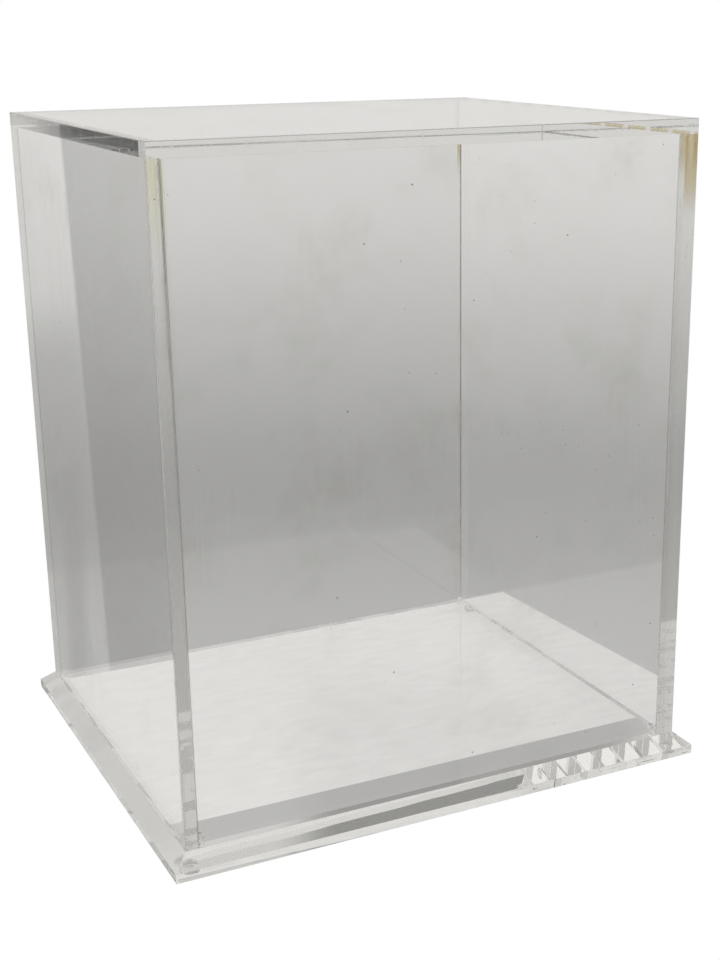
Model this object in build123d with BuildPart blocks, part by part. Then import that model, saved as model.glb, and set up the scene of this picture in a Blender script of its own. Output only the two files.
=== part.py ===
from build123d import *
import os

# Acrylic display box: a clear five-sided cover that lifts straight up off a bevelled base.
# Millimetres. +Z is up and -Y is the front. The origin is on the table, under the middle of the box.

# Cover, measured over its outer faces
COVER_WIDTH = 220.0
COVER_DEPTH = 190.0
COVER_HEIGHT = 258.0
WALL_THICKNESS = 6.0
TOP_THICKNESS = 6.0

# Base plate: an upright edge below and above it a bevel of 40 degrees, which ends at the cover's foot
BASE_EDGE = 4.0
BEVEL_RUN = 6.0
BEVEL_DROP = 5.0

# Locating pins, which stand in the inner corners of the cover and keep it from sliding
PIN_DIAMETER = 3.0
PIN_HEIGHT = 3.0
PIN_LEAD_IN = 0.5
PIN_CLEARANCE = 0.3

# Round bumper feet under the corners of the base. Each inset is to the middle of a foot
FOOT_DIAMETER = 6.0
FOOT_HEIGHT = 2.0
FOOT_ROUND = 0.8
FOOT_INSET_SIDE = 8.0
FOOT_INSET_FRONT = 10.0
FOOT_INSET_BACK = 15.0

# Small flat left where a sharp outer edge has been scraped
EDGE_BREAK = 0.3

# Film of air that the high spots of the cover's sawn foot leave over the base
SEAT_GAP = 0.1

# Levels above the table
base_bottom = FOOT_HEIGHT
base_top = base_bottom + BASE_EDGE + BEVEL_DROP
cover_foot = base_top + SEAT_GAP
panel_bottom = cover_foot + COVER_HEIGHT - TOP_THICKNESS

# Outline of the base at its foot, and the clear space between the walls of the cover
base_width = COVER_WIDTH + 2 * BEVEL_RUN
base_depth = COVER_DEPTH + 2 * BEVEL_RUN
inside_width = COVER_WIDTH - 2 * WALL_THICKNESS
inside_depth = COVER_DEPTH - 2 * WALL_THICKNESS

# The walls share one height and one middle
wall_height = panel_bottom - cover_foot
wall_middle = (panel_bottom + cover_foot) / 2

# Corners, each by the side of the box it is on, as signs of X and Y
corners = {
    "front_left": (-1, -1),
    "front_right": (1, -1),
    "back_left": (-1, 1),
    "back_right": (1, 1),
}

os.makedirs("parts", exist_ok=True)

# Base plate: one thick sheet with its four top edges bevelled
with BuildPart() as base_plate:
    with BuildSketch(Plane.XY.offset(base_bottom)):
        Rectangle(base_width, base_depth)
    extrude(amount=BASE_EDGE + BEVEL_DROP)
    upper_face = base_plate.faces().sort_by(Axis.Z)[-1]
    chamfer(upper_face.edges(), BEVEL_RUN, BEVEL_DROP, reference=upper_face)
    chamfer(base_plate.faces().sort_by(Axis.Z)[0].edges(), EDGE_BREAK)
base_plate.part.label = "base_plate"
export_step(base_plate.part, "parts/base_plate.step")

# Locating pins: round, with a tapered top, bonded on the base close to the walls of the cover
pin_x = inside_width / 2 - PIN_CLEARANCE - PIN_DIAMETER / 2
pin_y = inside_depth / 2 - PIN_CLEARANCE - PIN_DIAMETER / 2
for corner, (side_x, side_y) in corners.items():
    with BuildPart() as pin:
        with BuildSketch(Plane.XY.offset(base_top)):
            with Locations((side_x * pin_x, side_y * pin_y)):
                Circle(PIN_DIAMETER / 2)
        extrude(amount=PIN_HEIGHT)
        chamfer(pin.faces().sort_by(Axis.Z)[-1].edges(), PIN_LEAD_IN)
    pin.part.label = f"locating_pin_{corner}"
    export_step(pin.part, f"parts/locating_pin_{corner}.step")

# Bumper feet: round, with a rounded lower rim, one under each corner of the base
foot_x = base_width / 2 - FOOT_INSET_SIDE
foot_y = {-1: FOOT_INSET_FRONT - base_depth / 2, 1: base_depth / 2 - FOOT_INSET_BACK}
for corner, (side_x, side_y) in corners.items():
    with BuildPart() as foot:
        with BuildSketch(Plane.XY):
            with Locations((side_x * foot_x, foot_y[side_y])):
                Circle(FOOT_DIAMETER / 2)
        extrude(amount=FOOT_HEIGHT)
        fillet(foot.faces().sort_by(Axis.Z)[0].edges(), min(FOOT_ROUND, FOOT_HEIGHT / 2))
    foot.part.label = f"foot_{corner}"
    export_step(foot.part, f"parts/foot_{corner}.step")

# Front and back walls: butted between the side walls, each drawn from its rear face
cross_wall_planes = {
    "front_wall": Plane.XZ.offset(inside_depth / 2),
    "back_wall": Plane.XZ.offset(-COVER_DEPTH / 2),
}
for wall_name, wall_plane in cross_wall_planes.items():
    with BuildPart() as cross_wall:
        with BuildSketch(wall_plane):
            with Locations((0, wall_middle)):
                Rectangle(inside_width, wall_height)
        extrude(amount=WALL_THICKNESS)
    cross_wall.part.label = wall_name
    export_step(cross_wall.part, f"parts/{wall_name}.step")

# Side walls: the full depth of the cover, so their ends show on the front and back faces.
# Each is drawn from its left face. outer_end picks its outer upright edges, lowest X or highest X.
side_wall_planes = {
    "left_wall": (Plane.YZ.offset(-COVER_WIDTH / 2), 0),
    "right_wall": (Plane.YZ.offset(inside_width / 2), -1),
}
for wall_name, (wall_plane, outer_end) in side_wall_planes.items():
    with BuildPart() as side_wall:
        with BuildSketch(wall_plane):
            with Locations((0, wall_middle)):
                Rectangle(COVER_DEPTH, wall_height)
        extrude(amount=WALL_THICKNESS)
        chamfer(side_wall.edges().filter_by(Axis.Z).group_by(Axis.X)[outer_end], EDGE_BREAK)
    side_wall.part.label = wall_name
    export_step(side_wall.part, f"parts/{wall_name}.step")

# Top panel: lies over all four walls, flush with their outer faces
with BuildPart() as top_panel:
    with BuildSketch(Plane.XY.offset(panel_bottom)):
        Rectangle(COVER_WIDTH, COVER_DEPTH)
    extrude(amount=TOP_THICKNESS)
    upright_edges = top_panel.edges().filter_by(Axis.Z)
    upper_edges = top_panel.faces().sort_by(Axis.Z)[-1].edges()
    chamfer(upright_edges + upper_edges, EDGE_BREAK)
top_panel.part.label = "top_panel"
export_step(top_panel.part, "parts/top_panel.step")
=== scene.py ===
import math

import bpy
from mathutils import Matrix, Vector


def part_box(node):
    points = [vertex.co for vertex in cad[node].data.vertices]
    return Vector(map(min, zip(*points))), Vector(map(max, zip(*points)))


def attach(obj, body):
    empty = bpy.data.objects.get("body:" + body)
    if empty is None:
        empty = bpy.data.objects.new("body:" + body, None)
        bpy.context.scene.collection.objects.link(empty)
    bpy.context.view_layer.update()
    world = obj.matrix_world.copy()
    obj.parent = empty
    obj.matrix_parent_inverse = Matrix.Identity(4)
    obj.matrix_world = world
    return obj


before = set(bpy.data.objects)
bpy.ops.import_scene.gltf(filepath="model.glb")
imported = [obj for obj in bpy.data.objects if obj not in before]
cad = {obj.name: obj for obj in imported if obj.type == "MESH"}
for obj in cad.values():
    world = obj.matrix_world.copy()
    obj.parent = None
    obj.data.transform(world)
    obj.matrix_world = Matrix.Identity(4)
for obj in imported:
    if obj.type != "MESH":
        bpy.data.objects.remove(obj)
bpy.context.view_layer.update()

scene = bpy.context.scene


# Light of the studio. The box stands before a pale sweep that darkens towards the table, with patches of
# light and shade round it and a darker near side behind the camera. Past the box, the camera sees white.
def add_node(tree, kind, inputs=(), **settings):
    """A new node. A socket given as an input is linked to it, and any other value is set."""
    made = tree.nodes.new(kind)
    for name, value in settings.items():
        setattr(made, name, value)
    for key, value in dict(inputs).items():
        if isinstance(value, bpy.types.NodeSocket):
            tree.links.new(value, made.inputs[key])
        else:
            made.inputs[key].default_value = value
    return made


def math_node(tree, operation, first, second=0.0, third=0.0):
    """The result of one sum on numbers or sockets."""
    inputs = {0: first, 1: second, 2: third}
    return add_node(tree, "ShaderNodeMath", inputs, operation=operation).outputs[0]


def times(tree, first, second):
    """The product of two numbers or sockets."""
    return math_node(tree, "MULTIPLY", first, second)


def soft_step(tree, value, low, high):
    """0 below low and 1 above high, smooth between; the other way round where low is above high."""
    inputs = {"Value": value, "From Min": low, "From Max": high, "To Min": 0.0, "To Max": 1.0}
    return add_node(tree, "ShaderNodeMapRange", inputs, interpolation_type="SMOOTHSTEP").outputs[0]


def add_ramp(tree, factor, stops, interpolation="LINEAR"):
    """The colour of a ramp through (place, colour) stops."""
    ramp = add_node(tree, "ShaderNodeValToRGB", {"Fac": factor})
    ramp.color_ramp.interpolation = interpolation
    elements = ramp.color_ramp.elements
    elements.remove(elements[1])
    for number, (place, colour) in enumerate(stops):
        element = elements.new(place) if number else elements[0]
        element.position = place
        element.color = colour
    return ramp.outputs["Color"]


def mix_colours(tree, factor, first, second, blend_type="MIX"):
    """The first colour, turned to the second by the factor."""
    factor_key, first_key, second_key, result_key = 0, 6, 7, 2
    inputs = {factor_key: factor, first_key: first, second_key: second}
    mixed = add_node(tree, "ShaderNodeMix", inputs, data_type="RGBA", blend_type=blend_type)
    return mixed.outputs[result_key]


def grey(level, tint=(1.0, 1.0, 1.0)):
    """The linear colour that shows as this level, 0 to 255, times a tint."""
    linear = ((level / 255 + 0.055) / 1.055) ** 2.4
    return (linear * tint[0], linear * tint[1], linear * tint[2], 1.0)


def split_vector(tree, vector):
    """The three parts of a vector."""
    return add_node(tree, "ShaderNodeSeparateXYZ", {0: vector}).outputs


WHITE = (1.0, 1.0, 1.0, 1.0)
PAINT_TINT = (1.0, 0.99, 0.965)
SKY_REACH = 60.0
MOST_BOUNCES = 48
MOST_CLEAR_PASSES = 64

# Levels of the sweep and of the near side, as (rise in degrees, level). The near side starts and is full
# where a direction's Y is this
SWEEP_LEVELS = [
    (-60, 184), (-26, 186), (-21, 181), (-18.5, 173), (-16, 168), (-13.5, 182), (-10, 203), (-7, 219),
    (-3, 231), (3, 225), (10, 219), (20, 210), (30, 209), (45, 210), (60, 230),
]
NEAR_SIDE_LEVELS = [
    (-60, 160), (-30, 150), (-18, 100), (-12, 72), (-4, 66), (1, 100), (6, 160), (14, 175), (30, 200),
    (60, 235),
]
NEAR_SIDE_START = -0.55
NEAR_SIDE_FULL = -0.85

# Patches, as (turn, rise, border, slant, level). The first four are bands that the side walls mirror, the
# fifth makes the bright bars in the front bevel, the sixth is a shade that the base mirrors, and the last
# lights part of the near side
STUDIO_PATCHES = [
    ((-15.0, -10.0), (-19, -10.5), 3.0, 0.0, 160),
    ((-14.5, -13.8), (-40, -15.5), 0.5, -0.03, 150),
    ((-14.0, -10.0), (-9, 1), 3.0, 0.0, 206),
    ((-24, -14.17), (-40, 1), 0.12, 0.02, 126),
    ((-66, -38), (-3, 17), 3.0, 0.0, 247),
    ((22, 35), (24, 33), 3.0, 0.0, 146),
    ((166.4, 178), (-4.2, 20), 1.0, 0.0, 215),
]
world = bpy.data.worlds.new("studio")
scene.world = world
world.use_nodes = True
sky = world.node_tree
sky.nodes.clear()
direction = split_vector(sky, add_node(sky, "ShaderNodeTexCoord").outputs["Generated"])
elevation = math_node(sky, "ARCSINE", direction["Z"])
azimuth = math_node(sky, "ARCTAN2", direction["X"], direction["Y"])
height = math_node(sky, "MULTIPLY_ADD", elevation, 90 / math.pi / SKY_REACH, 0.5)


def side_light(levels):
    """The light of one side of the studio, by how high a direction points."""
    stops = [(0.5 + rise / (2 * SKY_REACH), grey(level, PAINT_TINT)) for rise, level in levels]
    return add_ramp(sky, height, stops, "B_SPLINE")


def studio_patch(turn, rise, border, slant):
    """1 in a patch of the studio. Turn and rise are (from, to), in degrees to the right and up; border is the
    width of its soft edge, and slant is how far its upright sides lean to the right for each degree up."""
    share = 1.0
    leaning = math_node(sky, "MULTIPLY_ADD", elevation, -slant, azimuth)
    for value, (low, high) in ((leaning, turn), (elevation, rise)):
        low, high, fade = (math.radians(angle) for angle in (low, high, border))
        share = times(sky, share, soft_step(sky, value, low - fade / 2, low + fade / 2))
        share = times(sky, share, soft_step(sky, value, high + fade / 2, high - fade / 2))
    return share


sweep, near_side = side_light(SWEEP_LEVELS), side_light(NEAR_SIDE_LEVELS)
nearness = soft_step(sky, direction["Y"], NEAR_SIDE_START, NEAR_SIDE_FULL)
studio_light = mix_colours(sky, nearness, sweep, near_side)
for turn, rise, border, slant, level in STUDIO_PATCHES:
    patch = studio_patch(turn, rise, border, slant)
    studio_light = mix_colours(sky, patch, studio_light, grey(level, PAINT_TINT))
straight = add_node(sky, "ShaderNodeLightPath").outputs["Is Camera Ray"]
background = add_node(sky, "ShaderNodeBackground", {"Color": mix_colours(sky, straight, studio_light, WHITE)})
add_node(sky, "ShaderNodeOutputWorld", {"Surface": background.outputs[0]})
scene.view_settings.view_transform = "Standard"
scene.cycles.max_bounces = MOST_BOUNCES
scene.cycles.transmission_bounces = MOST_BOUNCES
scene.cycles.glossy_bounces = MOST_BOUNCES
scene.cycles.transparent_max_bounces = MOST_CLEAR_PASSES


# Table and sheet of paper under the box, both plain and pale. Neither is lit: both glow with painted light.
# The paper's faint ripples are painted shading in its glow. It runs past the left side of the box, and its
# near edge lies a little behind the front. Both take a painted shade towards the sides.
TABLE_HALF = 4.0
TABLE_LEVEL = -0.0005
TABLE_TONES = (236, 242)
TABLE_CORNERS = [(x * TABLE_HALF, y * TABLE_HALF) for x, y in ((-1, -1), (1, -1), (1, 1), (-1, 1))]
PAPER_LEVEL = -0.0002
PAPER_TONES = (229, 238)
PAPER_CORNERS = [(-0.30, -0.0610), (0.1605, -0.0640), (0.1493, 0.1174), (-0.30, 0.1040)]
RIPPLE_TURN = math.radians(35)
RIPPLE_STRETCH = (1.0, 3.2, 1.0)
RIPPLE_SCALE = 70.0
RIPPLE_SPREAD = (0.3, 0.7)
# Painted shade: darkens the glow of both panels towards the sides
SIDE_SHADE = (0.87, 0.87, 0.87, 1.0)
SHADE_START = 0.085
SHADE_FULL = 0.125


def object_place(tree):
    """The place on the piece, in metres."""
    return add_node(tree, "ShaderNodeTexCoord").outputs["Object"]


def noise(tree, place, scale, detail, **more):
    """Soft noise at a place. More sets the node's other inputs by name."""
    inputs = {"Vector": place, "Scale": scale, "Detail": detail, **more}
    return add_node(tree, "ShaderNodeTexNoise", inputs).outputs["Fac"]


def flat_panel(name, corners, level, tones):
    """A flat panel at that height, which glows with painted light instead of being lit. Where it is seen in
    or through the box, its glow runs from the darker to the lighter tone as painted ripple shading, under a
    painted shade towards the sides; the camera sees it plain white."""
    mesh = bpy.data.meshes.new(name)
    mesh.from_pydata([(x, y, level) for x, y in corners], [], [range(len(corners))])
    panel = bpy.data.objects.new(name, mesh)
    scene.collection.objects.link(panel)
    surface = bpy.data.materials.new(name)
    surface.use_nodes = True
    tree = surface.node_tree
    tree.nodes.clear()
    place = object_place(tree)
    across = {"Vector": place, "Rotation": (0, 0, RIPPLE_TURN), "Scale": RIPPLE_STRETCH}
    grain = add_node(tree, "ShaderNodeMapping", across).outputs[0]
    # Painted ripple shading: the glow runs from the darker to the lighter tone along the ripples
    ripple = noise(tree, grain, RIPPLE_SCALE, 5.0, Distortion=0.6)
    painted_ripple_shading = add_ramp(tree, ripple, [(spot, grey(tone, PAINT_TINT)) for spot, tone in zip(RIPPLE_SPREAD, tones)])
    # Painted shade towards the sides
    off_middle = math_node(tree, "ABSOLUTE", split_vector(tree, place)["X"])
    shade = soft_step(tree, off_middle, SHADE_START, SHADE_FULL)
    shaded = mix_colours(tree, shade, painted_ripple_shading, SIDE_SHADE, "MULTIPLY")
    straight = add_node(tree, "ShaderNodeLightPath").outputs["Is Camera Ray"]
    light = add_node(tree, "ShaderNodeEmission", {"Color": mix_colours(tree, straight, shaded, WHITE)})
    add_node(tree, "ShaderNodeOutputMaterial", {"Surface": light.outputs[0]})
    mesh.materials.append(surface)
    return panel


floor = flat_panel("table_top", TABLE_CORNERS, TABLE_LEVEL, TABLE_TONES)
floor.visible_glossy = floor.visible_transmission = floor.visible_diffuse = floor.visible_shadow = False
paper = flat_panel("paper_sheet", PAPER_CORNERS, PAPER_LEVEL, PAPER_TONES)


# Walls of the cover: four upright sheets of clear cast acrylic, 6 mm thick. The front and back ones are
# butted between the side ones, and thin cement closes every joint so that the sheets are one to the light.
ACRYLIC_IOR = 1.49
DEPTH_TINT = (0.50, 0.50, 0.43, 1.0)
DEPTH_DENSITY = 0.9
JOINT_DEPTH = 2e-5
MOST_REFLECTIONS = 24
FAR = 1.0
hollow = Vector((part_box("front_wall")[1].x, -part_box("front_wall")[1].y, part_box("top_panel")[0].z))
cover_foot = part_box("left_wall")[0].z


def new_group(name, inputs, outputs):
    """An empty shader node group. Inputs are (name, kind, value), outputs (name, kind)."""
    group = bpy.data.node_groups.new(name, "ShaderNodeTree")
    for socket_name, kind, value in inputs:
        group.interface.new_socket(socket_name, in_out="INPUT", socket_type=kind).default_value = value
    for socket_name, kind in outputs:
        group.interface.new_socket(socket_name, in_out="OUTPUT", socket_type=kind)
    return group, group.nodes.new("NodeGroupInput").outputs, group.nodes.new("NodeGroupOutput").inputs


def use_group(tree, group, **values):
    """The outputs of a node group, placed in a material with its own values, named as its inputs are."""
    placed = add_node(tree, "ShaderNodeGroup", node_tree=group)
    for name, value in values.items():
        placed.inputs[name.replace("_", " ").title()].default_value = value
    return placed.outputs


def vector_math(tree, operation, first, second=(0.0, 0.0, 0.0)):
    """The vector result of one sum on vectors."""
    return add_node(tree, "ShaderNodeVectorMath", {0: first, 1: second}, operation=operation).outputs[0]


def greater(tree, first, second):
    """The greater of two numbers or sockets."""
    return math_node(tree, "MAXIMUM", first, second)


def make_cemented_face():
    """1 on the faces inside a thin box, given in the place (|x|, |y|, z)."""
    tree, entry, leave = new_group(
        "cemented_face",
        [("Low", "NodeSocketVector", (-FAR, -FAR, -FAR)), ("High", "NodeSocketVector", (FAR, FAR, FAR))],
        [("Mask", "NodeSocketFloat")],
    )
    x, y, z = split_vector(tree, object_place(tree))
    folded_parts = {0: math_node(tree, "ABSOLUTE", x), 1: math_node(tree, "ABSOLUTE", y), 2: z}
    folded = add_node(tree, "ShaderNodeCombineXYZ", folded_parts).outputs[0]
    above = vector_math(tree, "SUBTRACT", folded, entry["Low"])
    below = vector_math(tree, "SUBTRACT", entry["High"], folded)
    x, y, z = split_vector(tree, vector_math(tree, "MINIMUM", above, below))
    least = math_node(tree, "MINIMUM", x, math_node(tree, "MINIMUM", y, z))
    tree.links.new(math_node(tree, "GREATER_THAN", least, 0.0), leave["Mask"])
    return tree


# Marks of handling. A spread is where a mark starts and where it is full. A hairline is its slant in degrees
# and how often it changes in a metre of its length, and its fineness is the same across it
SMEAR_SCALE = 26.0
SMEAR_SPREAD = (0.50, 0.74)
SMEAR_TINT = (0.925, 0.925, 0.915, 1.0)
SMEAR_ROUGHNESS = 0.08
GREASE_SCALE = 260.0
GREASE_SPREAD = (0.40, 0.62)
GREASE_SHARE = 0.45
HAIRLINES = ((24, 14.0), (-31, 9.0))
HAIRLINE_FINENESS = 2200.0
HAIRLINE_SPREAD = (0.73, 0.79)
HAIRLINE_ROUGHNESS = 0.12
SPECK_SCALE = 260.0
SPECK_RARITY = 0.988
SPECK_SPREAD = (0.11, 0.07)
SPECK_TINT = (0.16, 0.16, 0.15, 1.0)
SPECK_ROUGHNESS = 0.6


def make_handling_marks():
    """What hands and cloths leave on a polished sheet: soft smears, hairlines and a few specks of dust."""
    tree, entry, leave = new_group(
        "handling_marks",
        [("Smears", "NodeSocketFloat", 1.0), ("Shift", "NodeSocketVector", (0.0, 0.0, 0.0))],
        [("Tint", "NodeSocketColor"), ("Roughness", "NodeSocketFloat")],
    )
    place = vector_math(tree, "ADD", object_place(tree), entry["Shift"])
    broad = soft_step(tree, noise(tree, place, SMEAR_SCALE, 3.0, Roughness=0.6), *SMEAR_SPREAD)
    fine = soft_step(tree, noise(tree, place, GREASE_SCALE, 1.0), *GREASE_SPREAD)
    grained = times(tree, broad, math_node(tree, "MULTIPLY_ADD", fine, GREASE_SHARE, 1 - GREASE_SHARE))
    smear = times(tree, grained, entry["Smears"])
    hairs = 0.0
    for slant, changes in HAIRLINES:
        turned = {
            "Vector": place,
            "Rotation": (math.radians(slant), math.radians(slant / 2), 0),
            "Scale": (HAIRLINE_FINENESS, HAIRLINE_FINENESS, changes),
        }
        line = noise(tree, add_node(tree, "ShaderNodeMapping", turned).outputs[0], 1.0, 0.0)
        hairs = greater(tree, hairs, soft_step(tree, line, *HAIRLINE_SPREAD))
    cells = add_node(tree, "ShaderNodeTexVoronoi", {"Vector": place, "Scale": SPECK_SCALE})
    lone = math_node(tree, "GREATER_THAN", split_vector(tree, cells.outputs["Color"])[0], SPECK_RARITY)
    speck = times(tree, lone, soft_step(tree, cells.outputs["Distance"], *SPECK_SPREAD))
    smeared = mix_colours(tree, smear, WHITE, SMEAR_TINT)
    tree.links.new(mix_colours(tree, speck, smeared, SPECK_TINT), leave["Tint"])
    rough = math_node(tree, "MULTIPLY_ADD", smear, SMEAR_ROUGHNESS, times(tree, hairs, HAIRLINE_ROUGHNESS))
    tree.links.new(greater(tree, rough, times(tree, speck, SPECK_ROUGHNESS)), leave["Roughness"])
    return tree


# An edge faces over 60 degrees away from the sheet's two faces. A scraped corner, like a bevel, faces over
# about 26 degrees away from all three axes
EDGE_LIMIT = 0.5
SCRAPED_LIMIT = 0.9
COMMON_STREAKS = (900.0, 900.0, 14.0)


def make_sheet_edge():
    """Sawn and polished edges of a sheet, told from its two faces by the direction the sheet faces."""
    tree, entry, leave = new_group(
        "sheet_edge",
        [
            ("Sheet Faces", "NodeSocketVector", (0.0, 1.0, 0.0)),
            ("Streaks", "NodeSocketVector", COMMON_STREAKS),
        ],
        [("Mask", "NodeSocketFloat"), ("Height", "NodeSocketFloat"), ("Scraped", "NodeSocketFloat")],
    )
    facing = add_node(tree, "ShaderNodeNewGeometry").outputs["True Normal"]
    along = {0: facing, 1: entry["Sheet Faces"]}
    flatness = add_node(tree, "ShaderNodeVectorMath", along, operation="DOT_PRODUCT").outputs["Value"]
    mask = math_node(tree, "LESS_THAN", math_node(tree, "ABSOLUTE", flatness), EDGE_LIMIT)
    place = vector_math(tree, "MULTIPLY", object_place(tree), entry["Streaks"])
    streak = noise(tree, place, 1.0, 2.0, Roughness=0.7)
    x, y, z = split_vector(tree, vector_math(tree, "ABSOLUTE", facing))
    most = greater(tree, x, greater(tree, y, z))
    tree.links.new(mask, leave["Mask"])
    tree.links.new(times(tree, streak, mask), leave["Height"])
    tree.links.new(math_node(tree, "LESS_THAN", most, SCRAPED_LIMIT), leave["Scraped"])
    return tree


cemented_face = make_cemented_face()
handling_marks = make_handling_marks()
sheet_edge = make_sheet_edge()


def clear_acrylic(name):
    """A new material of clear acrylic: the material, its tree, and the inputs of its shader."""
    made = bpy.data.materials.new(name)
    made.use_nodes = True
    tree = made.node_tree
    tree.nodes.clear()
    glass = {"IOR": ACRYLIC_IOR, "Transmission Weight": 1.0, "Roughness": 0.0}
    shader = add_node(tree, "ShaderNodeBsdfPrincipled", glass)
    depth = add_node(tree, "ShaderNodeVolumeAbsorption", {"Color": DEPTH_TINT, "Density": DEPTH_DENSITY})
    add_node(tree, "ShaderNodeOutputMaterial", {"Surface": shader.outputs[0], "Volume": depth.outputs[0]})
    return made, tree, shader.inputs


def open_joints(tree, shader, masks):
    """Lets light straight through where cement makes two pieces one, and lets light that is caught inside a
    sheet out after many reflections, as its small flaws do."""
    reflections = add_node(tree, "ShaderNodeLightPath").outputs["Ray Depth"]
    joined = math_node(tree, "GREATER_THAN", reflections, MOST_REFLECTIONS)
    for mask in masks:
        joined = greater(tree, joined, mask)
    tree.links.new(math_node(tree, "SUBTRACT", 1.0, joined), shader["Alpha"])


def raise_surface(tree, shader, relief, strength, depth):
    """Gives the surface a relief, from 0 to 1, of that depth in metres."""
    bump = add_node(tree, "ShaderNodeBump", {"Height": relief, "Strength": strength, "Distance": depth})
    tree.links.new(bump.outputs[0], shader["Normal"])


def dress(piece, made):
    """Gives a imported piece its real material."""
    piece.data.materials.clear()
    piece.data.materials.append(made)


SCRAPED_ROUGHNESS = 0.6


def sheet_roughness(tree, marks, edge):
    """Roughness of a polished sheet: its marks, and its scraped corners, which stay dull."""
    return greater(tree, marks["Roughness"], times(tree, edge["Scraped"], SCRAPED_ROUGHNESS))


YELLOWED_REACH = 0.034
PALE_YELLOW = (0.97, 0.94, 0.76, 1.0)
DEEP_YELLOW = (0.62, 0.50, 0.27, 1.0)
STREAK_DEPTH = 0.8e-5
WALL_STREAKS = (900.0, 900.0, 7.0)
SAWN_BLOCKS = (58.0, 58.0, 0.0)
SAWN_SPREAD = (0.47, 0.53)
SAWN_ROUGHNESS = 0.42
FOOT_DIRT = (0.88, 0.85, 0.76, 1.0)


def wall_material(name, sheet_faces, butted, shift, yellowed, foot_wear):
    """A wall: marked faces, streaked upright ends that yellowed near the top, and a rough sawn foot."""
    made, tree, shader = clear_acrylic(name)
    marks = use_group(tree, handling_marks, smears=1.0, shift=shift)
    edge = use_group(tree, sheet_edge, sheet_faces=sheet_faces, streaks=WALL_STREAKS)
    place = object_place(tree)
    level = split_vector(tree, place)[2]
    upright = soft_step(tree, level, hollow.z - YELLOWED_REACH, hollow.z - YELLOWED_REACH / 2)
    yellow = times(tree, upright, edge["Mask"])
    blocks = noise(tree, vector_math(tree, "MULTIPLY", place, SAWN_BLOCKS), 1.0, 2.5)
    sole = math_node(tree, "LESS_THAN", level, cover_foot + JOINT_DEPTH)
    foot = times(tree, sole, soft_step(tree, blocks, *SAWN_SPREAD))
    foot = times(tree, foot, foot_wear)
    tint = mix_colours(tree, yellow, marks["Tint"], yellowed, "MULTIPLY")
    tree.links.new(mix_colours(tree, foot, tint, FOOT_DIRT, "MULTIPLY"), shader["Base Color"])
    rough = sheet_roughness(tree, marks, edge)
    tree.links.new(greater(tree, rough, times(tree, foot, SAWN_ROUGHNESS)), shader["Roughness"])
    raise_surface(tree, shader, edge["Height"], 1.0, STREAK_DEPTH)
    under_top = use_group(tree, cemented_face, low=(-FAR, -FAR, hollow.z - JOINT_DEPTH))
    side_joint = use_group(tree, cemented_face, **butted)
    open_joints(tree, shader, [under_top["Mask"], side_joint["Mask"]])
    return made


# Each wall: the way its faces look, where it is butted, where its marks are taken from, the yellow of its
# upright ends, and how worn its foot is
butt_end = {"low": (hollow.x - JOINT_DEPTH, -FAR, -FAR)}
butt_side = {"low": (-FAR, hollow.y, -FAR), "high": (hollow.x + JOINT_DEPTH, FAR, FAR)}
for name, sheet_faces, butted, shift, yellowed, foot_wear in (
    ("front_wall", (0, 1, 0), butt_end, (0.0, 0.0, 0.0), PALE_YELLOW, 0.0),
    ("back_wall", (0, 1, 0), butt_end, (0.31, 0.0, 0.17), PALE_YELLOW, 0.5),
    ("left_wall", (1, 0, 0), butt_side, (0.0, 0.53, 0.0), PALE_YELLOW, 1.0),
    ("right_wall", (1, 0, 0), butt_side, (0.0, 0.11, 0.71), DEEP_YELLOW, 0.8),
):
    dress(cad[name], wall_material(name, sheet_faces, butted, shift, yellowed, foot_wear))


# Cement beads: the little cement that was squeezed out of the upright joints stands in the four inner
# corners of the cover as a thin hollow-faced bead of uneven width.
BEAD_WIDTH = 0.00045
BEAD_CLEARANCE = 0.00004
BEAD_END_GAP = 0.0002
BEAD_STEPS = 90
BEAD_SECTION = ((0.0, 0.0), (-1.0, 0.0), (-0.42, -0.42), (0.0, -1.0))
BEAD_LEAST = 0.7
BEAD_SWELL = 0.5
BEAD_LUMP_SCALE = 60.0
WRINKLE_SCALE = 900.0
WRINKLE_ROUGHNESS = 0.3
WRINKLE_STRENGTH = 0.6
WRINKLE_DEPTH = 1e-4
AMBER_STOPS = [(0.35, (0.72, 0.70, 0.62, 1.0)), (0.65, (0.92, 0.91, 0.87, 1.0))]


def upright_vector(tree, value):
    """The vector (0, 0, value)."""
    return add_node(tree, "ShaderNodeCombineXYZ", {2: value}).outputs[0]


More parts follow.
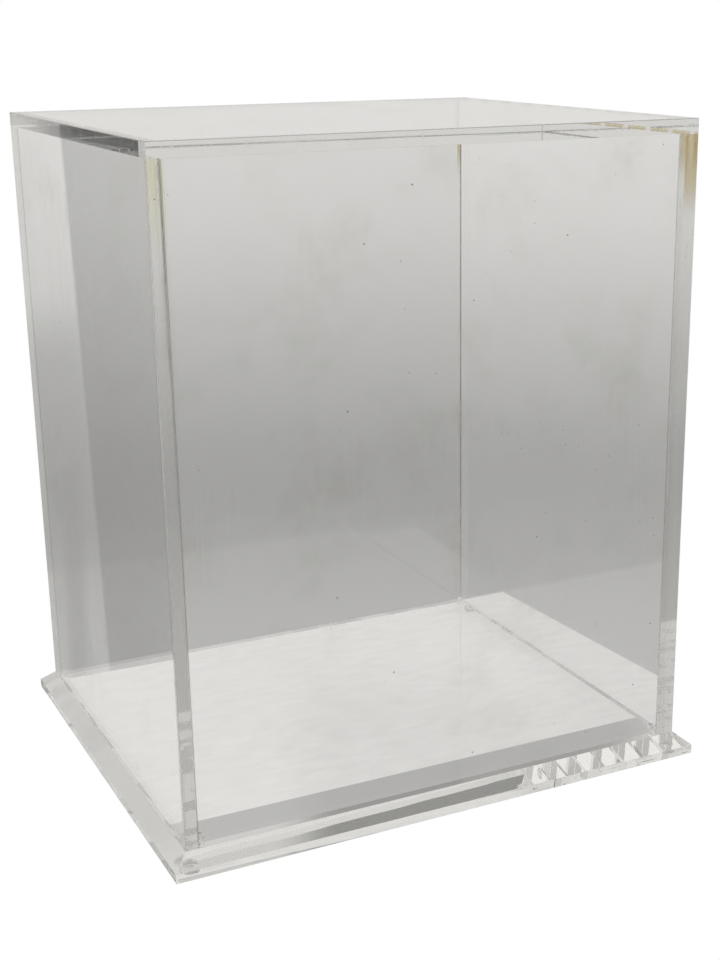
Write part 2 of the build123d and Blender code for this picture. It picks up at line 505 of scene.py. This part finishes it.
def make_bead_builder():
    """Nodes that stand one uneven bead in each corner of the hollow, turned into it."""
    group = bpy.data.node_groups.new("cement_beads", "GeometryNodeTree")
    for name, kind in (("Width", "Float"), ("Low", "Vector"), ("High", "Vector"), ("Finish", "Material")):
        group.interface.new_socket(name, in_out="INPUT", socket_type=f"NodeSocket{kind}")
    group.interface.new_socket("Geometry", in_out="OUTPUT", socket_type="NodeSocketGeometry")
    entry = group.nodes.new("NodeGroupInput").outputs
    low = split_vector(group, entry["Low"])
    high = split_vector(group, entry["High"])
    ends = {"Start": upright_vector(group, low[2]), "End": upright_vector(group, high[2])}
    path = add_node(group, "GeometryNodeCurvePrimitiveLine", ends).outputs[0]
    path = add_node(group, "GeometryNodeResampleCurve", {"Curve": path, "Count": BEAD_STEPS}).outputs[0]
    uneven = add_node(group, "ShaderNodeTexNoise", {"Scale": BEAD_LUMP_SCALE, "Detail": 3.0}).outputs[0]
    radius = math_node(group, "MULTIPLY_ADD", uneven, BEAD_SWELL, BEAD_LEAST)
    path = add_node(group, "GeometryNodeSetCurveRadius", {"Curve": path, "Radius": radius}).outputs[0]
    section = add_node(group, "GeometryNodeCurvePrimitiveQuadrilateral", mode="POINTS")
    for number, share in enumerate(BEAD_SECTION, 1):
        scaled = {0: (*share, 0.0), "Scale": entry["Width"]}
        across = add_node(group, "ShaderNodeVectorMath", scaled, operation="SCALE")
        group.links.new(across.outputs[0], section.inputs[f"Point {number}"])
    swept = {"Curve": path, "Profile Curve": section.outputs[0], "Fill Caps": True}
    bead = add_node(group, "GeometryNodeCurveToMesh", swept).outputs[0]
    width = math_node(group, "SUBTRACT", high[0], low[0])
    depth = math_node(group, "SUBTRACT", high[1], low[1])
    size = {"Width": width, "Height": depth}
    corners = add_node(group, "GeometryNodeCurvePrimitiveQuadrilateral", size).outputs[0]
    turn = times(group, add_node(group, "GeometryNodeInputIndex").outputs[0], math.pi / 2)
    placed = {"Points": corners, "Instance": bead, "Rotation": upright_vector(group, turn)}
    beads = add_node(group, "GeometryNodeInstanceOnPoints", placed).outputs[0]
    beads = add_node(group, "GeometryNodeRealizeInstances", {0: beads}).outputs[0]
    finished = {"Geometry": beads, "Material": entry["Finish"]}
    beads = add_node(group, "GeometryNodeSetMaterial", finished).outputs[0]
    group.links.new(beads, group.nodes.new("NodeGroupOutput").inputs[0])
    return group


def bead_material():
    """Set cement: clear, a little amber, with a wrinkled face."""
    made, tree, shader = clear_acrylic("cement")
    wrinkle = noise(tree, object_place(tree), WRINKLE_SCALE, 3.0)
    tree.links.new(add_ramp(tree, wrinkle, AMBER_STOPS), shader["Base Color"])
    tree.links.new(times(tree, wrinkle, WRINKLE_ROUGHNESS), shader["Roughness"])
    raise_surface(tree, shader, wrinkle, WRINKLE_STRENGTH, WRINKLE_DEPTH)
    return made


def plain_mesh(name, group, values):
    """The mesh that geometry nodes make, as a plain object at the origin."""
    grown = bpy.data.objects.new(name, bpy.data.meshes.new(name))
    scene.collection.objects.link(grown)
    modifier = grown.modifiers.new(name, "NODES")
    modifier.node_group = group
    for item in group.interface.items_tree:
        if item.in_out == "INPUT":
            modifier[item.identifier] = values[item.name]
    evaluated = grown.evaluated_get(bpy.context.evaluated_depsgraph_get())
    mesh = bpy.data.meshes.new_from_object(evaluated)
    grown.modifiers.remove(modifier)
    grown.data = mesh
    return grown


bead_inset = Vector((BEAD_CLEARANCE, BEAD_CLEARANCE, BEAD_END_GAP))
bead_high = hollow - bead_inset
bead_low = Vector((-bead_high.x, -bead_high.y, cover_foot + bead_inset.z))
bead_values = {"Width": BEAD_WIDTH, "Low": bead_low, "High": bead_high, "Finish": bead_material()}
beads = plain_mesh("cement_beads", make_bead_builder(), bead_values)
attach(beads, "cover")


# Top panel: the fifth sheet of the cover, cemented over the upper ends of all four walls and flush with
# their outer faces. Its sawn edges are polished, with fine streaks along them.
TOP_STREAK_DEPTH = 3.0e-6
TOP_STREAKS = (12.0, 12.0, 1500.0)


def top_material():
    """The top panel: marked faces, edges streaked along their length, and joints over the walls."""
    made, tree, shader = clear_acrylic("top_panel")
    marks = use_group(tree, handling_marks, smears=0.7, shift=(0.9, 0.2, 0.0))
    edge = use_group(tree, sheet_edge, sheet_faces=(0, 0, 1), streaks=TOP_STREAKS)
    tree.links.new(marks["Tint"], shader["Base Color"])
    tree.links.new(sheet_roughness(tree, marks, edge), shader["Roughness"])
    raise_surface(tree, shader, edge["Height"], 1.0, TOP_STREAK_DEPTH)
    joint_top = hollow.z + JOINT_DEPTH
    over_sides = use_group(tree, cemented_face, low=(hollow.x, -FAR, -FAR), high=(FAR, FAR, joint_top))
    over_ends = use_group(tree, cemented_face, low=(-FAR, hollow.y, -FAR), high=(FAR, FAR, joint_top))
    open_joints(tree, shader, [over_sides["Mask"], over_ends["Mask"]])
    return made


dress(cad["top_panel"], top_material())


# Base plate: a thicker sheet of the same acrylic, its four upper edges planed to a bevel. The bevels are
# polished clear, with the plane's slow waves left in them; the left one is worn dull by handling.
BEVEL_WAVE = 1.2e-4
BEVEL_WAVE_SCALE = 42.0
BASE_STREAK = 4.0e-6
BASE_STREAKS = (22.0, 22.0, 700.0)
DULL_ROUGHNESS = 0.34
DULL_SPREAD = 0.2
DULL_SCALE = 90.0
LEVEL_LIMIT = 0.9
SLOPE_LIMIT = 0.2
base_low, base_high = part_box("base_plate")


def middle_and_radius(name, face_level):
    """Where an upright round piece meets the base, and its radius."""
    low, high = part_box(name)
    return ((low.x + high.x) / 2, (low.y + high.y) / 2, face_level), (high.x - low.x) / 2


def make_cemented_disc():
    """1 on a level round face; its mirror image on the other side of the box counts too."""
    tree, entry, leave = new_group(
        "cemented_disc",
        [("Middle", "NodeSocketVector", (0.0, 0.0, 0.0)), ("Radius", "NodeSocketFloat", 0.001)],
        [("Mask", "NodeSocketFloat")],
    )
    x, y, z = split_vector(tree, object_place(tree))
    folded_parts = {0: math_node(tree, "ABSOLUTE", x), 1: y, 2: z}
    folded = add_node(tree, "ShaderNodeCombineXYZ", folded_parts).outputs[0]
    offset = vector_math(tree, "SUBTRACT", folded, entry["Middle"])
    flat = vector_math(tree, "MULTIPLY", offset, (1.0, 1.0, 0.0))
    reach = add_node(tree, "ShaderNodeVectorMath", {0: flat}, operation="LENGTH").outputs["Value"]
    near = math_node(tree, "LESS_THAN", reach, entry["Radius"])
    off_level = math_node(tree, "ABSOLUTE", split_vector(tree, offset)[2])
    level_with = math_node(tree, "LESS_THAN", off_level, JOINT_DEPTH)
    tree.links.new(times(tree, near, level_with), leave["Mask"])
    return tree


cemented_disc = make_cemented_disc()
pin_joints = [middle_and_radius(f"locating_pin_{side}_right", base_high.z) for side in ("front", "back")]
foot_joints = [middle_and_radius(f"foot_{side}_right", base_low.z) for side in ("front", "back")]


def open_discs(tree, shader, joints):
    """Lets light through the round joints."""
    discs = [use_group(tree, cemented_disc, middle=middle, radius=radius) for middle, radius in joints]
    open_joints(tree, shader, [disc["Mask"] for disc in discs])


def base_material():
    """The base: marked top, waved bevels, the left one dull, and streaked upright edges. Wear and waves count
    only for light that meets the sheet from outside, because a face's direction turns round inside it."""
    made, tree, shader = clear_acrylic("base_plate")
    marks = use_group(tree, handling_marks, smears=0.35, shift=(0.0, 0.0, 0.43))
    edge = use_group(tree, sheet_edge, sheet_faces=(0, 0, 1), streaks=BASE_STREAKS)
    tree.links.new(marks["Tint"], shader["Base Color"])
    geometry = add_node(tree, "ShaderNodeNewGeometry").outputs
    facing = split_vector(tree, geometry["True Normal"])
    to_right, upward = facing["X"], facing["Z"]
    outside = math_node(tree, "SUBTRACT", 1.0, geometry["Backfacing"])
    level_face = math_node(tree, "GREATER_THAN", math_node(tree, "ABSOLUTE", upward), LEVEL_LIMIT)
    rising = math_node(tree, "GREATER_THAN", upward, SLOPE_LIMIT)
    bevel = times(tree, rising, math_node(tree, "LESS_THAN", upward, LEVEL_LIMIT))
    dull = times(tree, bevel, math_node(tree, "LESS_THAN", to_right, -SLOPE_LIMIT))
    dull = times(tree, dull, outside)
    lower_edge = times(tree, edge["Scraped"], math_node(tree, "LESS_THAN", upward, -SLOPE_LIMIT))
    lower_edge = times(tree, lower_edge, outside)
    place = object_place(tree)
    uneven = noise(tree, place, DULL_SCALE, 4.0)
    dullness = math_node(tree, "MULTIPLY_ADD", uneven, DULL_SPREAD, DULL_ROUGHNESS - DULL_SPREAD / 2)
    grit = times(tree, dull, dullness)
    grit = greater(tree, grit, times(tree, lower_edge, SCRAPED_ROUGHNESS))
    smeared = times(tree, marks["Roughness"], times(tree, level_face, outside))
    tree.links.new(greater(tree, grit, smeared), shader["Roughness"])
    wave = noise(tree, place, BEVEL_WAVE_SCALE, 1.0)
    relief = times(tree, edge["Height"], BASE_STREAK / BEVEL_WAVE)
    relief = math_node(tree, "ADD", relief, times(tree, wave, bevel))
    relief = times(tree, relief, outside)
    raise_surface(tree, shader, relief, 1.0, BEVEL_WAVE)
    open_discs(tree, shader, pin_joints + foot_joints)
    return made


dress(cad["base_plate"], base_material())


# Locating pins: short clear rods with a tapered top, cemented on the base in the inner corners of the
# cover, so that it drops over them and can't slide.
CORNERS = ("front_left", "front_right", "back_left", "back_right")
RING_SCALE = 1200.0
RING_STRENGTH = 0.3
RING_DEPTH = 5e-6


def pin_material():
    """Clear rod, with the fine rings that turning left round it."""
    made, tree, shader = clear_acrylic("locating_pins")
    marks = use_group(tree, handling_marks, smears=0.4, shift=(0.2, 0.7, 0.0))
    tree.links.new(marks["Tint"], shader["Base Color"])
    tree.links.new(marks["Roughness"], shader["Roughness"])
    rings = {"Vector": object_place(tree), "Scale": RING_SCALE}
    turned = add_node(tree, "ShaderNodeTexWave", rings, bands_direction="Z").outputs["Fac"]
    raise_surface(tree, shader, turned, RING_STRENGTH, RING_DEPTH)
    open_discs(tree, shader, pin_joints)
    return made


pin_finish = pin_material()
for corner in CORNERS:
    dress(cad[f"locating_pin_{corner}"], pin_finish)


# Bumper feet: small round pads of clear rubber with a rounded lower rim, stuck under the corners of the
# base by their own adhesive. They are a little cloudy and pick up dust at the rim.
CLOUD_SCALE = 700.0
CLOUD_STOPS = [(0.3, (0.86, 0.86, 0.84, 1.0)), (0.7, (0.95, 0.95, 0.94, 1.0))]
RIM_DUST = (0.72, 0.71, 0.68, 1.0)
RUBBER_ROUGHNESS = 0.1
RUBBER_SPREAD = 0.2


def foot_material():
    """Cloudy clear rubber, with dust where it meets the table."""
    made, tree, shader = clear_acrylic("bumper_feet")
    place = object_place(tree)
    cloud = noise(tree, place, CLOUD_SCALE, 4.0)
    dusty = soft_step(tree, split_vector(tree, place)[2], base_low.z / 2, 0.0)
    tint = add_ramp(tree, cloud, CLOUD_STOPS)
    tree.links.new(mix_colours(tree, dusty, tint, RIM_DUST), shader["Base Color"])
    rough = math_node(tree, "MULTIPLY_ADD", cloud, RUBBER_SPREAD, RUBBER_ROUGHNESS)
    tree.links.new(rough, shader["Roughness"])
    open_discs(tree, shader, foot_joints)
    return made


foot_finish = foot_material()
for corner in CORNERS:
    dress(cad[f"foot_{corner}"], foot_finish)


# Camera, a little above the top of the box and off its left front corner, turned right and tilted down as
# the photograph was taken.
CAMERA_PLACE = (-0.26455, -0.59748, 0.30740)
CAMERA_TURN, CAMERA_TILT, CAMERA_ROLL = (math.radians(angle) for angle in (-26.903, 17.316, -0.392))
camera_data = bpy.data.cameras.new("camera")
camera_data.lens = 58.794
camera_data.sensor_width = 36.0
camera_data.shift_x = -0.0667
camera_data.shift_y = 0.0248
camera = bpy.data.objects.new("camera", camera_data)
scene.collection.objects.link(camera)
camera.matrix_world = (
    Matrix.Translation(CAMERA_PLACE)
    @ Matrix.Rotation(CAMERA_TURN, 4, "Z")
    @ Matrix.Rotation(math.pi / 2 - CAMERA_TILT, 4, "X")
    @ Matrix.Rotation(CAMERA_ROLL, 4, "Z")
)
scene.camera = camera
